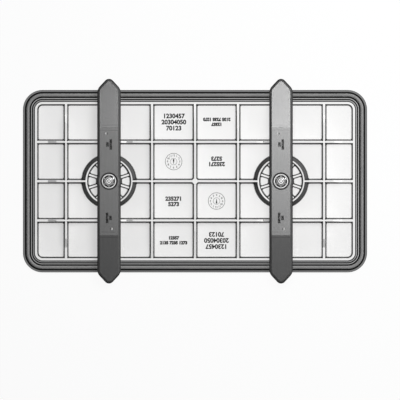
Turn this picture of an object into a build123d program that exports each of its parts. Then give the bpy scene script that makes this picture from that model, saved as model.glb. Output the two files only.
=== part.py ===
from build123d import *
from math import atan, cos, degrees, radians, sin, tan
import os

# A removable deck hatch lid, in millimetres. It lies face down: its outer (deck) face is the plane z = 0,
# +X runs along its length, and +Z points from the deck face into the boat, to the ribs and clamp bars.
# The origin is the middle of the deck face.

# Lid outline, wall and rim
LID_LENGTH = 600.0
LID_WIDTH = 318.0
CORNER_RADIUS = 34.0
SKIN = 4.0
FLANGE_HEIGHT = 5.0
FLANGE_EDGE_ROUND = 1.0
RIM_INSET = 20.9
RIM_WIDTH = 3.6
RIM_FOOT = 0.9
RIM_TOP = 17.0

# Rib grid
RIB_TOP = 27.0
RIB_TOP_WIDTH = 2.75
RIB_BASE_WIDTH = 5.3
RIB_PITCH_X = 75.0
RIB_PITCH_Y = 68.5
CROSS_RIBS_EACH_SIDE = 3
LONG_SLOPE_RUN = 46.0
SHORT_RAMP_FROM_RIM = 18.0
SHORT_RAMP_RUN = 15.0
CROSS_PAD_RADIUS = 5.0
DIP_FROM_HUB = 31.0
DIP_HALF_WIDTH = 10.5
DIP_DEPTH = 6.0

# Hubs: on the deck side each one is a cup for a finger knob
HUB_PITCH = 300.0
CONE_BASE_RADIUS = 47.0
CONE_TOP_RADIUS = 41.0
CONE_INNER_RADIUS = 36.8
CONE_INNER_DRAFT = 2.2
CUP_WALL = 3.5
CUP_DEPTH = 17.5
CUP_FLOOR = 3.5
CUP_MOUTH_ROUND = 1.5
HUB_BOSS_RADIUS = 21.0
KNOB_BOSS_RADIUS = 15.0
KNOB_BOSS_HEIGHT = 3.0
GUSSET_COUNT = 10
GUSSET_WIDTH = 3.0
GUSSET_OVERLAP = 1.0

# Raised foothold pad on the deck face
PAD_INSET = 22.0
PAD_CORNER_RADIUS = 16.0
PAD_FROM_CUP = 6.0
PAD_HEIGHT = 0.6

# Gasket section
LIP_WALL = 1.6
LIP_CLEAR_OF_DECK_FACE = 1.0
LIP_WIDTH = 5.2
BEAD_RADIUS = 3.5
BAND_THICKNESS = 1.6
BAND_WIDTH = 3.4
STEP_HEIGHT = 0.8
LINE_WIDTH = 1.7
LINE_DEPTH = 1.2
TONGUE_WIDTH = 3.5
TONGUE_DEPTH = 2.4

# Stud and its draw
STUD_RADIUS = 5.0
STUD_FLATS = 8.0
STUD_END_BEYOND_NUT = 1.6
STUD_POINT = 1.0
STUD_DIMPLE_RADIUS = 1.2
COLLAR_RADIUS = 8.0
COLLAR_THICKNESS = 2.5

# Clamp bar
BAR_CLEARANCE = 1.0
BAR_THICKNESS = 15.0
BAR_HALF_WIDTH = 20.5
BAR_OVERHANG = 19.5
BAR_TIP_ANGLE = 43.0
BAR_TIP_RADIUS = 9.0
BAR_SHOULDER_RADIUS = 17.0
BAR_END_LENGTH = 84.5
BAR_END_SLOPE = 6.2
BAR_BEND_RADIUS = 76.0
BAR_EDGE = 4.4
BAR_BOSS_RADIUS = 22.0
BAR_BOSS_BLEND = 12.0
NUT_RECESS_RADIUS = 15.0
NUT_RECESS_DEPTH = 6.0
LANYARD_HOLE_RADIUS = 2.0
LANYARD_HOLE_X = 4.5
LANYARD_HOLE_Y = 83.2
POCKET_WALL = 5.0
POCKET_ROUND = 5.0
POCKET_FLOOR = 5.0
POCKET_START = 27.0
POCKET_WEB = 18.0
POCKET_END_FROM_TIP = 46.0
LAND_FROM_LID = 1.5
LAND_HEIGHT = 0.6
BAR_BUSH_RADIUS = 8.0

# Washer and lock nut, M10
WASHER_RADIUS = 13.5
WASHER_THICKNESS = 2.0
NUT_ACROSS_FLATS = 17.0
NUT_HEX_HEIGHT = 7.6
NUT_HEIGHT = 10.0
NUT_COLLAR_RADIUS = 6.9
NUT_BEVEL = 0.9
NUT_INSERT_RADIUS = 6.2
NUT_INSERT_HEIGHT = 2.2
NUT_LIP = 0.35

# Finger knob
KNOB_INSET = 1.5
KNOB_RADIUS = 36.0
KNOB_DISC = 4.5
KNOB_GAP = 1.3
KNOB_EDGE_ROUND = 1.2
GRIP_LENGTH = 69.0
GRIP_WIDTH = 15.0
GRIP_DRAFT = 4.0
GRIP_ROUND = 2.0
KNOB_CENTRE_RADIUS = 14.0
SCALLOP_COUNT = 12
SCALLOP_RADIUS = 4.5
SCALLOP_DEPTH = 1.6
CAP_RADIUS = 10.0
CAP_THICKNESS = 2.5
CAP_STEM_RADIUS = 6.5
CAP_WEB = 1.0

# Sleeve, bush, seal, clip and guide plate in the hub
SLEEVE_RADIUS = 8.0
SLEEVE_HEX = 18.0
SLEEVE_ABOVE_CLIP = 0.5
SLIP_WASHER = 1.3
SLIP_WASHER_RADIUS = 14.5
SEAL_SECTION = 2.9
HUB_BORE_RADIUS = 11.0
BUSH_LENGTH = 3.8
BUSH_FLANGE_RADIUS = 13.2
BUSH_FLANGE = 1.0
CLIP_THICKNESS = 1.05
CLIP_GROOVE_DEPTH = 0.8
CLIP_RADIUS = 10.6
CLIP_GAP_ANGLE = 34.0
CLIP_EAR_RADIUS = 1.7
CLIP_EAR_HOLE_RADIUS = 0.7
PLATE_RADIUS = 20.0
PLATE_THICKNESS = 2.5
SCREW_COUNT = 3
SCREW_CIRCLE_RADIUS = 16.8
SCREW_RADIUS = 1.45
SCREW_HEAD_RADIUS = 2.6
SCREW_LENGTH = 7.5
SCREW_FIRST_ANGLE = 30.0
SCREW_SLOT_WIDTH = 0.6
SCREW_SLOT_LENGTH = 3.1
SCREW_SLOT_DEPTH = 0.7

# Clearances
SEAT_GAP = 0.02
RUNNING_GAP = 0.05
SLIDING_GAP = 0.1
FACE_GAP = 0.05
LOOSE_GAP = 0.3

# Heights on the hub's axis, from the deck face into the boat
FLOOR_TOP = CUP_DEPTH + CUP_FLOOR
HUB_BOTTOM = CUP_DEPTH - KNOB_BOSS_HEIGHT
SEAL_TOP = HUB_BOTTOM + SEAL_SECTION + 2 * FACE_GAP
BUSH_SEAT = SEAL_TOP + BUSH_LENGTH
CLIP_BOTTOM = BUSH_SEAT + BUSH_FLANGE + FACE_GAP
SLEEVE_TOP = CLIP_BOTTOM + CLIP_THICKNESS + SLEEVE_ABOVE_CLIP
HUB_TOP = SLEEVE_TOP + LOOSE_GAP
PLATE_TOP = HUB_TOP + PLATE_THICKNESS
BAR_BOTTOM = max(RIB_TOP, PLATE_TOP) + BAR_CLEARANCE
BAR_TOP = BAR_BOTTOM + BAR_THICKNESS
COLLAR_BOTTOM = PLATE_TOP + LOOSE_GAP
COLLAR_TOP = COLLAR_BOTTOM + COLLAR_THICKNESS
WASHER_BOTTOM = BAR_TOP - NUT_RECESS_DEPTH + FACE_GAP
NUT_BOTTOM = WASHER_BOTTOM + WASHER_THICKNESS
STUD_TOP = NUT_BOTTOM + NUT_HEIGHT + STUD_END_BEYOND_NUT
KNOB_TOP = CUP_DEPTH - KNOB_GAP
SLIP_WASHER_BOTTOM = HUB_BOTTOM - SLIP_WASHER
CAP_TOP = KNOB_INSET + CAP_THICKNESS
SLEEVE_BOTTOM = CAP_TOP + CAP_WEB
STUD_BOTTOM = SLEEVE_BOTTOM + SLIDING_GAP

# Lengths that follow from the outline
FIELD_HALF_X = LID_LENGTH / 2 - RIM_INSET - RIM_WIDTH - RIM_FOOT
FIELD_HALF_Y = LID_WIDTH / 2 - RIM_INSET - RIM_WIDTH - RIM_FOOT
RIB_INTO_RIM = RIM_FOOT + RIM_WIDTH / 2
BAR_HALF_LENGTH = LID_WIDTH / 2 + BAR_OVERHANG
RIB_DRAFT = degrees(atan((RIB_BASE_WIDTH - RIB_TOP_WIDTH) / 2 / (RIB_TOP - SKIN)))
CONE_SLOPE = (CONE_BASE_RADIUS - CONE_TOP_RADIUS) / (RIB_TOP - SKIN)
BEAD_LINE = LIP_WIDTH + BEAD_RADIUS
HUBS = {"left": -HUB_PITCH / 2, "right": HUB_PITCH / 2}
# Two lengths nearer to each other than this are taken as equal
CLOSE = 0.01
STANDING = (Align.CENTER, Align.CENTER, Align.MIN)
HANGING = (Align.CENTER, Align.CENTER, Align.MAX)


def outline(inset, mode=Mode.ADD):
    """The lid's outline, moved inward from the outer edge."""
    RectangleRounded(LID_LENGTH - 2 * inset, LID_WIDTH - 2 * inset, CORNER_RADIUS - inset, mode=mode)


def cone_radius(height):
    """Outer radius of a hub's cone at a height above the deck face."""
    return CONE_BASE_RADIUS - (height - SKIN) * CONE_SLOPE


def rib(half_length, full_height_half, ramp_run):
    """A drafted rib along X: full height in the middle, ramping down to the rim's height at both ends."""
    reach = half_length + RIB_INTO_RIM
    low_from = full_height_half + ramp_run
    with BuildPart() as drafted:
        with BuildSketch(Plane.XY.offset(SKIN)):
            Rectangle(2 * reach, RIB_BASE_WIDTH)
        extrude(amount=RIB_TOP - SKIN, taper=RIB_DRAFT)
        with BuildSketch(Plane.XZ):
            with BuildLine():
                Polyline(
                    (-reach, SKIN),
                    (reach, SKIN),
                    (reach, RIM_TOP),
                    (low_from, RIM_TOP),
                    (full_height_half, RIB_TOP),
                    (-full_height_half, RIB_TOP),
                    (-low_from, RIM_TOP),
                    (-reach, RIM_TOP),
                    close=True,
                )
            make_face()
        extrude(amount=RIB_BASE_WIDTH, both=True, mode=Mode.INTERSECT)
    return drafted.part


def flatted_circle(radius, across_flats):
    """A circle with two flats facing +X and -X."""
    Circle(radius)
    Rectangle(across_flats, 2 * radius, mode=Mode.INTERSECT)


# Ribs of the lid
lengthwise_rib = rib(FIELD_HALF_X, FIELD_HALF_X - SHORT_RAMP_FROM_RIM - SHORT_RAMP_RUN, SHORT_RAMP_RUN)
sloped_cross_rib = rib(FIELD_HALF_Y, FIELD_HALF_Y - LONG_SLOPE_RUN, LONG_SLOPE_RUN)
end_cross_rib = rib(FIELD_HALF_Y, FIELD_HALF_Y - SHORT_RAMP_FROM_RIM - SHORT_RAMP_RUN, SHORT_RAMP_RUN)

# The outer lengthwise ribs have a V dip beside each bar
with BuildPart() as dipped_rib:
    add(lengthwise_rib)
    for side in (-1, 1):
        dip_x = side * (HUB_PITCH / 2 - DIP_FROM_HUB)
        with BuildSketch(Plane.XZ):
            with BuildLine():
                Polyline(
                    (dip_x, RIB_TOP - DIP_DEPTH),
                    (dip_x + DIP_HALF_WIDTH, RIB_TOP),
                    (dip_x - DIP_HALF_WIDTH, RIB_TOP),
                    close=True,
                )
            make_face()
        extrude(amount=RIB_BASE_WIDTH, both=True, mode=Mode.SUBTRACT)

# Lid: skin, flange, rim, ribs and hubs
with BuildPart() as lid:
    with BuildSketch(Plane.XY.offset(PAD_HEIGHT)):
        outline(LIP_WALL)
    extrude(amount=FLANGE_HEIGHT - PAD_HEIGHT)
    fillet(lid.edges().filter_by_position(Axis.Z, PAD_HEIGHT, PAD_HEIGHT), FLANGE_EDGE_ROUND)
    # The foothold pad stands proud of the smooth border and of the cups' surrounds
    mouth_radius = cone_radius(PAD_HEIGHT) - CUP_WALL
    with BuildSketch():
        RectangleRounded(LID_LENGTH - 2 * PAD_INSET, LID_WIDTH - 2 * PAD_INSET, PAD_CORNER_RADIUS)
        with Locations(*[(x, 0) for x in HUBS.values()]):
            Circle(mouth_radius + PAD_FROM_CUP, mode=Mode.SUBTRACT)
    extrude(amount=PAD_HEIGHT)
    with BuildSketch(Plane.XY.offset(FLANGE_HEIGHT)):
        outline(RIM_INSET)
    extrude(amount=RIM_TOP - FLANGE_HEIGHT)
    with BuildSketch(Plane.XY.offset(RIM_TOP)):
        outline(RIM_INSET + RIM_WIDTH)
    extrude(
        amount=-(RIM_TOP - SKIN),
        taper=degrees(atan(RIM_FOOT / (RIM_TOP - SKIN))),
        mode=Mode.SUBTRACT,
    )
    # Groove for the gasket's tongue, under the bead
    with BuildSketch(Plane.XY.offset(FLANGE_HEIGHT)):
        outline(BEAD_LINE - TONGUE_WIDTH / 2 - SEAT_GAP)
        outline(BEAD_LINE + TONGUE_WIDTH / 2 + SEAT_GAP, mode=Mode.SUBTRACT)
    extrude(amount=-TONGUE_DEPTH - SEAT_GAP, mode=Mode.SUBTRACT)
    # Rib grid
    add(lengthwise_rib)
    for row in (-1, 1):
        add(dipped_rib.part.moved(Location((0, row * RIB_PITCH_Y, 0))))
    for column in range(-CROSS_RIBS_EACH_SIDE, CROSS_RIBS_EACH_SIDE + 1):
        kind = end_cross_rib if abs(column) == CROSS_RIBS_EACH_SIDE else sloped_cross_rib
        add(kind.moved(Location((column * RIB_PITCH_X, 0, 0), (0, 0, 90))))
    with BuildSketch(Plane.XY.offset(SKIN)):
        Circle(CROSS_PAD_RADIUS)
    extrude(amount=RIB_TOP - SKIN)
    # Hub cones, sunk floors and bosses
    hub_spots = [(x, 0) for x in HUBS.values()]
    with Locations(*[(x, 0, SKIN) for x in HUBS.values()]):
        Cone(CONE_BASE_RADIUS, CONE_TOP_RADIUS, RIB_TOP - SKIN, align=STANDING)
    with Locations(*[(x, 0, FLOOR_TOP) for x in HUBS.values()]):
        Cone(
            CONE_INNER_RADIUS,
            CONE_INNER_RADIUS + CONE_INNER_DRAFT,
            RIB_TOP - FLOOR_TOP,
            align=STANDING,
            mode=Mode.SUBTRACT,
        )
        Cylinder(HUB_BOSS_RADIUS, HUB_TOP - FLOOR_TOP, align=STANDING)
    with Locations(*hub_spots):
        Cone(
            cone_radius(0) - CUP_WALL,
            cone_radius(CUP_DEPTH) - CUP_WALL,
            CUP_DEPTH,
            align=STANDING,
            mode=Mode.SUBTRACT,
        )
    rounds = lid.edges().filter_by(GeomType.CIRCLE).filter_by_position(Axis.Z, PAD_HEIGHT, PAD_HEIGHT)
    fillet([e for e in rounds if abs(e.radius - mouth_radius) < CLOSE], CUP_MOUTH_ROUND)
    with Locations(*[(x, 0, HUB_BOTTOM) for x in HUBS.values()]):
        Cylinder(KNOB_BOSS_RADIUS, KNOB_BOSS_HEIGHT, align=STANDING)
    gusset_length = CONE_INNER_RADIUS + GUSSET_OVERLAP - HUB_BOSS_RADIUS / 2
    gusset_middle = (CONE_INNER_RADIUS + GUSSET_OVERLAP + HUB_BOSS_RADIUS / 2) / 2
    for x in HUBS.values():
        with BuildSketch(Plane((x, 0, FLOOR_TOP))):
            with PolarLocations(gusset_middle, GUSSET_COUNT, start_angle=180 / GUSSET_COUNT):
                Rectangle(gusset_length, GUSSET_WIDTH)
        extrude(amount=HUB_TOP - FLOOR_TOP)
    # Bores for the sleeve, its bush and seal, and the clip's room
    with Locations(*[(x, 0, HUB_BOTTOM) for x in HUBS.values()]):
        Cylinder(HUB_BORE_RADIUS, HUB_TOP - HUB_BOTTOM, align=STANDING, mode=Mode.SUBTRACT)
    with Locations(*[(x, 0, BUSH_SEAT) for x in HUBS.values()]):
        Cylinder(BUSH_FLANGE_RADIUS + LOOSE_GAP, HUB_TOP - BUSH_SEAT, align=STANDING, mode=Mode.SUBTRACT)
    for x in HUBS.values():
        with BuildSketch(Plane((x, 0, HUB_TOP))):
            with PolarLocations(SCREW_CIRCLE_RADIUS, SCREW_COUNT, start_angle=SCREW_FIRST_ANGLE):
                Circle(SCREW_RADIUS + SEAT_GAP)
        extrude(amount=-(SCREW_LENGTH - PLATE_THICKNESS + LOOSE_GAP), mode=Mode.SUBTRACT)

# Gasket: one section swept round the edge, its lip wrapped over the flange's edge
with BuildSketch() as bead_outline:
    outline(BEAD_LINE)
section_plane = Plane(origin=(0, -LID_WIDTH / 2, 0), x_dir=(0, 1, 0), z_dir=(1, 0, 0))
band_inset = LIP_WIDTH + 2 * BEAD_RADIUS + BAND_WIDTH
band_top = FLANGE_HEIGHT + BAND_THICKNESS
with BuildPart() as gasket:
    with BuildSketch(section_plane):
        with BuildLine():
            line_bottom = band_top - LINE_DEPTH
            bead_start = (LIP_WIDTH, line_bottom)
            bead_end = (LIP_WIDTH + 2 * BEAD_RADIUS, line_bottom)
            Polyline(
                (0, LIP_CLEAR_OF_DECK_FACE),
                (0, band_top),
                (LIP_WIDTH - LINE_WIDTH, band_top),
                (LIP_WIDTH - LINE_WIDTH, line_bottom),
                bead_start,
                (LIP_WIDTH, band_top),
            )
            ThreePointArc(
                (LIP_WIDTH, band_top),
                (BEAD_LINE, band_top + BEAD_RADIUS),
                (LIP_WIDTH + 2 * BEAD_RADIUS, band_top),
            )
            Polyline(
                (LIP_WIDTH + 2 * BEAD_RADIUS, band_top),
                bead_end,
                (LIP_WIDTH + 2 * BEAD_RADIUS + LINE_WIDTH, line_bottom),
                (LIP_WIDTH + 2 * BEAD_RADIUS + LINE_WIDTH, band_top),
                (band_inset, band_top),
                (band_inset, line_bottom),
                (band_inset + LINE_WIDTH, line_bottom),
                (band_inset + LINE_WIDTH, band_top + STEP_HEIGHT),
                (RIM_INSET - SEAT_GAP, band_top + STEP_HEIGHT),
                (RIM_INSET - SEAT_GAP, FLANGE_HEIGHT),
                (BEAD_LINE + TONGUE_WIDTH / 2, FLANGE_HEIGHT),
                (BEAD_LINE + TONGUE_WIDTH / 2, FLANGE_HEIGHT - TONGUE_DEPTH),
                (BEAD_LINE - TONGUE_WIDTH / 2, FLANGE_HEIGHT - TONGUE_DEPTH),
                (BEAD_LINE - TONGUE_WIDTH / 2, FLANGE_HEIGHT),
                (LIP_WALL - SEAT_GAP, FLANGE_HEIGHT),
                (LIP_WALL - SEAT_GAP, LIP_CLEAR_OF_DECK_FACE),
                (0, LIP_CLEAR_OF_DECK_FACE),
            )
        make_face()
    sweep(path=bead_outline.face().outer_wire())

# Clamp bar: a strongback with pointed, sloping ends, cored from below
with BuildPart() as clamp_bar:
    tip_slant = radians(BAR_TIP_ANGLE)
    sharp_tip = BAR_HALF_LENGTH + BAR_TIP_RADIUS * (1 / sin(tip_slant) - 1)
    shoulder_y = sharp_tip - BAR_HALF_WIDTH / tan(tip_slant)
    with BuildSketch(Plane.XY.offset(BAR_BOTTOM)) as bar_outline:
        with BuildLine():
            Polyline(
                (BAR_HALF_WIDTH, -shoulder_y),
                (BAR_HALF_WIDTH, shoulder_y),
                (0, sharp_tip),
                (-BAR_HALF_WIDTH, shoulder_y),
                (-BAR_HALF_WIDTH, -shoulder_y),
                (0, -sharp_tip),
                close=True,
            )
        make_face()
        corners = bar_outline.vertices().sort_by(Axis.Y)
        fillet([corners[0], corners[-1]], BAR_TIP_RADIUS)
        shoulders = [v for v in bar_outline.vertices() if abs(abs(v.X) - BAR_HALF_WIDTH) < CLOSE]
        fillet(shoulders, BAR_SHOULDER_RADIUS)
        Circle(BAR_BOSS_RADIUS)
        necks = [v for v in bar_outline.vertices() if abs(v.Y) < BAR_BOSS_RADIUS]
        fillet(necks, BAR_BOSS_BLEND)
    extrude(amount=BAR_THICKNESS)
    bend_y = BAR_HALF_LENGTH - BAR_END_LENGTH
    end_drop = (sharp_tip - bend_y) * tan(radians(BAR_END_SLOPE))
    with BuildSketch(Plane.YZ) as bar_elevation:
        with BuildLine():
            Polyline(
                (-sharp_tip, BAR_BOTTOM),
                (sharp_tip, BAR_BOTTOM),
                (sharp_tip, BAR_TOP - end_drop),
                (bend_y, BAR_TOP),
                (-bend_y, BAR_TOP),
                (-sharp_tip, BAR_TOP - end_drop),
                close=True,
            )
        make_face()
        bends = [v for v in bar_elevation.vertices() if abs(abs(v.Y) - bend_y) < CLOSE]
        fillet(bends, BAR_BEND_RADIUS)
    extrude(amount=2 * BAR_BOSS_RADIUS, both=True, mode=Mode.INTERSECT)
    raised = clamp_bar.edges().filter_by_position(Axis.Z, BAR_BOTTOM + CLOSE, BAR_TOP + CLOSE)
    top_outline = [e for e in raised if abs(e.tangent_at(0.5).Z) < 0.5 and abs(e.tangent_at(0.5).X) < 0.9999]
    chamfer(top_outline, BAR_EDGE)
    # Only a land at each tip bears on the deck: the length between stands back from it
    with Locations((0, 0, BAR_BOTTOM)):
        Box(
            3 * BAR_BOSS_RADIUS,
            LID_WIDTH + 2 * LAND_FROM_LID,
            LAND_HEIGHT,
            align=STANDING,
            mode=Mode.SUBTRACT,
        )
    with Locations((0, 0, BAR_TOP)):
        Cylinder(NUT_RECESS_RADIUS, 2 * NUT_RECESS_DEPTH, mode=Mode.SUBTRACT)
    with Locations((0, 0, BAR_BOTTOM)):
        Cylinder(BAR_BUSH_RADIUS + SEAT_GAP, BAR_THICKNESS, align=STANDING, mode=Mode.SUBTRACT)
    with Locations((0, 0, BAR_BOTTOM)):
        Cylinder(
            COLLAR_RADIUS + LOOSE_GAP,
            COLLAR_TOP - BAR_BOTTOM + FACE_GAP,
            align=STANDING,
            mode=Mode.SUBTRACT,
        )
    with Locations((-LANYARD_HOLE_X, LANYARD_HOLE_Y, 0), (LANYARD_HOLE_X, -LANYARD_HOLE_Y, 0)):
        Cylinder(LANYARD_HOLE_RADIUS, 3 * BAR_TOP, mode=Mode.SUBTRACT)
    # Coring pockets on the side that faces the lid
    pocket_width = 2 * (BAR_HALF_WIDTH - POCKET_WALL)
    web_from = LANYARD_HOLE_Y - POCKET_WEB / 2
    web_to = LANYARD_HOLE_Y + POCKET_WEB / 2
    pocket_end = BAR_HALF_LENGTH - POCKET_END_FROM_TIP
    thickness_at_end = BAR_THICKNESS - (pocket_end - bend_y) * tan(radians(BAR_END_SLOPE))
    for start, end, depth in (
        (POCKET_START, web_from, BAR_THICKNESS - POCKET_FLOOR),
        (web_to, pocket_end, thickness_at_end - POCKET_FLOOR),
    ):
        with BuildSketch(Plane.XY.offset(BAR_BOTTOM)):
            with Locations((0, (start + end) / 2), (0, -(start + end) / 2)):
                RectangleRounded(pocket_width, end - start, POCKET_ROUND)
        extrude(amount=depth, mode=Mode.SUBTRACT)

with BuildPart() as bar_bush:
    with BuildSketch(Plane.XY.offset(COLLAR_TOP + FACE_GAP)):
        Circle(BAR_BUSH_RADIUS)
        Circle(STUD_RADIUS + RUNNING_GAP, mode=Mode.SUBTRACT)
    extrude(amount=WASHER_BOTTOM - FACE_GAP - COLLAR_TOP - FACE_GAP)

with BuildPart() as flat_washer:
    with BuildSketch(Plane.XY.offset(WASHER_BOTTOM)):
        Circle(WASHER_RADIUS)
        Circle(STUD_RADIUS + SLIDING_GAP, mode=Mode.SUBTRACT)
    extrude(amount=WASHER_THICKNESS)

# Lock nut: a hexagon with bevelled corners, a round collar, and a nylon ring in the collar
with BuildPart() as lock_nut:
    with BuildSketch(Plane.XY.offset(NUT_BOTTOM)):
        RegularPolygon(NUT_ACROSS_FLATS / 2, 6, major_radius=False, rotation=30)
    extrude(amount=NUT_HEX_HEIGHT)
    corner_radius = NUT_ACROSS_FLATS / 2 / cos(radians(30))
    with BuildSketch(Plane.XZ):
        with BuildLine():
            Polyline(
                (0, NUT_BOTTOM),
                (corner_radius - NUT_BEVEL, NUT_BOTTOM),
                (corner_radius + SLIDING_GAP, NUT_BOTTOM + NUT_BEVEL * tan(radians(30))),
                (corner_radius + SLIDING_GAP, NUT_BOTTOM + NUT_HEX_HEIGHT - NUT_BEVEL * tan(radians(30))),
                (corner_radius - NUT_BEVEL, NUT_BOTTOM + NUT_HEX_HEIGHT),
                (0, NUT_BOTTOM + NUT_HEX_HEIGHT),
                close=True,
            )
        make_face()
    revolve(axis=Axis.Z, mode=Mode.INTERSECT)
    with BuildSketch(Plane.XY.offset(NUT_BOTTOM + NUT_HEX_HEIGHT)):
        Circle(NUT_COLLAR_RADIUS)
    extrude(amount=NUT_HEIGHT - NUT_HEX_HEIGHT)
    fillet(lock_nut.faces().sort_by(Axis.Z)[-1].outer_wire().edges(), NUT_BEVEL)
    with BuildSketch(Plane.XY.offset(NUT_BOTTOM)):
        Circle(STUD_RADIUS + SEAT_GAP)
    extrude(amount=NUT_HEIGHT, mode=Mode.SUBTRACT)
    with BuildSketch(Plane.XY.offset(NUT_BOTTOM + NUT_HEIGHT)):
        Circle(NUT_INSERT_RADIUS)
    extrude(amount=-NUT_INSERT_HEIGHT - NUT_LIP, mode=Mode.SUBTRACT)

with BuildPart() as lock_nut_insert:
    with BuildSketch(Plane.XY.offset(NUT_BOTTOM + NUT_HEIGHT - NUT_LIP)):
        Circle(NUT_INSERT_RADIUS - SEAT_GAP)
        Circle(STUD_RADIUS + SEAT_GAP, mode=Mode.SUBTRACT)
    extrude(amount=-NUT_INSERT_HEIGHT)

# Stud: flatted below its collar so that the guide plate stops it from turning, round above it
with BuildPart() as stud:
    with BuildSketch(Plane.XY.offset(STUD_BOTTOM)):
        flatted_circle(STUD_RADIUS, STUD_FLATS)
    extrude(amount=COLLAR_BOTTOM - STUD_BOTTOM)
    with BuildSketch(Plane.XY.offset(COLLAR_BOTTOM)):
        Circle(COLLAR_RADIUS)
    extrude(amount=COLLAR_THICKNESS)
    with BuildSketch(Plane.XY.offset(COLLAR_TOP)):
        Circle(STUD_RADIUS)
    extrude(amount=STUD_TOP - COLLAR_TOP)
    chamfer(stud.faces().sort_by(Axis.Z)[-1].outer_wire().edges(), STUD_POINT)
    with Locations((0, 0, STUD_TOP)):
        Cone(
            0.0,
            STUD_DIMPLE_RADIUS,
            STUD_DIMPLE_RADIUS,
            align=(Align.CENTER, Align.CENTER, Align.MAX),
            mode=Mode.SUBTRACT,
        )

# Finger knob: a disc with a grip bar across it, facing the deck side
with BuildPart() as finger_knob:
    with BuildSketch(Plane.XY.offset(KNOB_TOP)):
        Circle(KNOB_RADIUS)
        with PolarLocations(KNOB_RADIUS - SCALLOP_DEPTH + SCALLOP_RADIUS, SCALLOP_COUNT):
            Circle(SCALLOP_RADIUS, mode=Mode.SUBTRACT)
    extrude(amount=-KNOB_DISC)
    fillet(finger_knob.faces().sort_by(Axis.Z)[0].outer_wire().edges(), KNOB_EDGE_ROUND)
    grip_height = KNOB_TOP - KNOB_DISC - KNOB_INSET
    with BuildSketch(Plane.XY.offset(KNOB_TOP - KNOB_DISC)):
        SlotOverall(GRIP_LENGTH, GRIP_WIDTH)
        Circle(KNOB_CENTRE_RADIUS)
    extrude(amount=-grip_height, taper=GRIP_DRAFT)
    fillet(finger_knob.faces().sort_by(Axis.Z)[0].outer_wire().edges(), GRIP_ROUND)
    # Room for the lid's boss and the slip washer
    with BuildSketch(Plane.XY.offset(KNOB_TOP)):
        Circle(KNOB_BOSS_RADIUS + LOOSE_GAP)
    extrude(amount=-(KNOB_TOP - SLIP_WASHER_BOTTOM), mode=Mode.SUBTRACT)
    # Hexagon for the sleeve, and the cap's seat
    with BuildSketch(Plane.XY.offset(SLIP_WASHER_BOTTOM)):
        RegularPolygon(SLEEVE_HEX / 2 + SEAT_GAP, 6, major_radius=False)
    extrude(amount=-(SLIP_WASHER_BOTTOM - SLEEVE_BOTTOM), mode=Mode.SUBTRACT)
    with BuildSketch(Plane.XY.offset(SLEEVE_BOTTOM)):
        Circle(CAP_STEM_RADIUS + SEAT_GAP)
    extrude(amount=-CAP_WEB, mode=Mode.SUBTRACT)
    with BuildSketch(Plane.XY.offset(CAP_TOP)):
        Circle(CAP_RADIUS + SEAT_GAP)
    extrude(amount=-CAP_THICKNESS, mode=Mode.SUBTRACT)

with BuildPart() as knob_cap:
    with BuildSketch(Plane.XY.offset(KNOB_INSET)):
        Circle(CAP_RADIUS)
    extrude(amount=CAP_THICKNESS)
    with BuildSketch(Plane.XY.offset(CAP_TOP)):
        Circle(CAP_STEM_RADIUS)
    extrude(amount=CAP_WEB - FACE_GAP)

# Knob insert: the threaded sleeve, hexagonal inside the knob and round in the hub
with BuildPart() as knob_insert:
    with BuildSketch(Plane.XY.offset(SLEEVE_BOTTOM)):
        RegularPolygon(SLEEVE_HEX / 2, 6, major_radius=False)
    extrude(amount=SLIP_WASHER_BOTTOM - SLEEVE_BOTTOM)
    with BuildSketch(Plane.XY.offset(SLIP_WASHER_BOTTOM)):
        Circle(SLEEVE_RADIUS)
    extrude(amount=SLEEVE_TOP - SLIP_WASHER_BOTTOM)
    with BuildSketch(Plane.XY.offset(CLIP_BOTTOM)):
        Circle(SLEEVE_RADIUS)
        Circle(SLEEVE_RADIUS - CLIP_GROOVE_DEPTH, mode=Mode.SUBTRACT)
    extrude(amount=CLIP_THICKNESS + FACE_GAP, mode=Mode.SUBTRACT)
    with BuildSketch(Plane.XY.offset(SLEEVE_BOTTOM)):
        Circle(STUD_RADIUS + RUNNING_GAP)
    extrude(amount=SLEEVE_TOP - SLEEVE_BOTTOM, mode=Mode.SUBTRACT)

with BuildPart() as knob_washer:
    with BuildSketch(Plane.XY.offset(SLIP_WASHER_BOTTOM + FACE_GAP)):
        Circle(SLIP_WASHER_RADIUS)
        Circle(SLEEVE_RADIUS + SLIDING_GAP, mode=Mode.SUBTRACT)
    extrude(amount=SLIP_WASHER - 2 * FACE_GAP)

# Circlip with a gap and two eared ends, in the sleeve's groove
with BuildPart() as knob_clip:
    ear_circle = (SLEEVE_RADIUS - CLIP_GROOVE_DEPTH + CLIP_RADIUS) / 2
    with BuildSketch(Plane.XY.offset(CLIP_BOTTOM)):
        Circle(CLIP_RADIUS)
        Circle(SLEEVE_RADIUS - CLIP_GROOVE_DEPTH + SEAT_GAP, mode=Mode.SUBTRACT)
        gap_half = radians(CLIP_GAP_ANGLE / 2)
        with BuildLine():
            Polyline(
                (0, 0),
                (2 * CLIP_RADIUS * cos(gap_half), 2 * CLIP_RADIUS * sin(gap_half)),
                (2 * CLIP_RADIUS * cos(gap_half), -2 * CLIP_RADIUS * sin(gap_half)),
                close=True,
            )
        make_face(mode=Mode.SUBTRACT)
        with PolarLocations(ear_circle, 2, start_angle=-CLIP_GAP_ANGLE / 2, angular_range=CLIP_GAP_ANGLE,
                            endpoint=True):
            Circle(CLIP_EAR_RADIUS)
            Circle(CLIP_EAR_HOLE_RADIUS, mode=Mode.SUBTRACT)
    extrude(amount=CLIP_THICKNESS)

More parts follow.
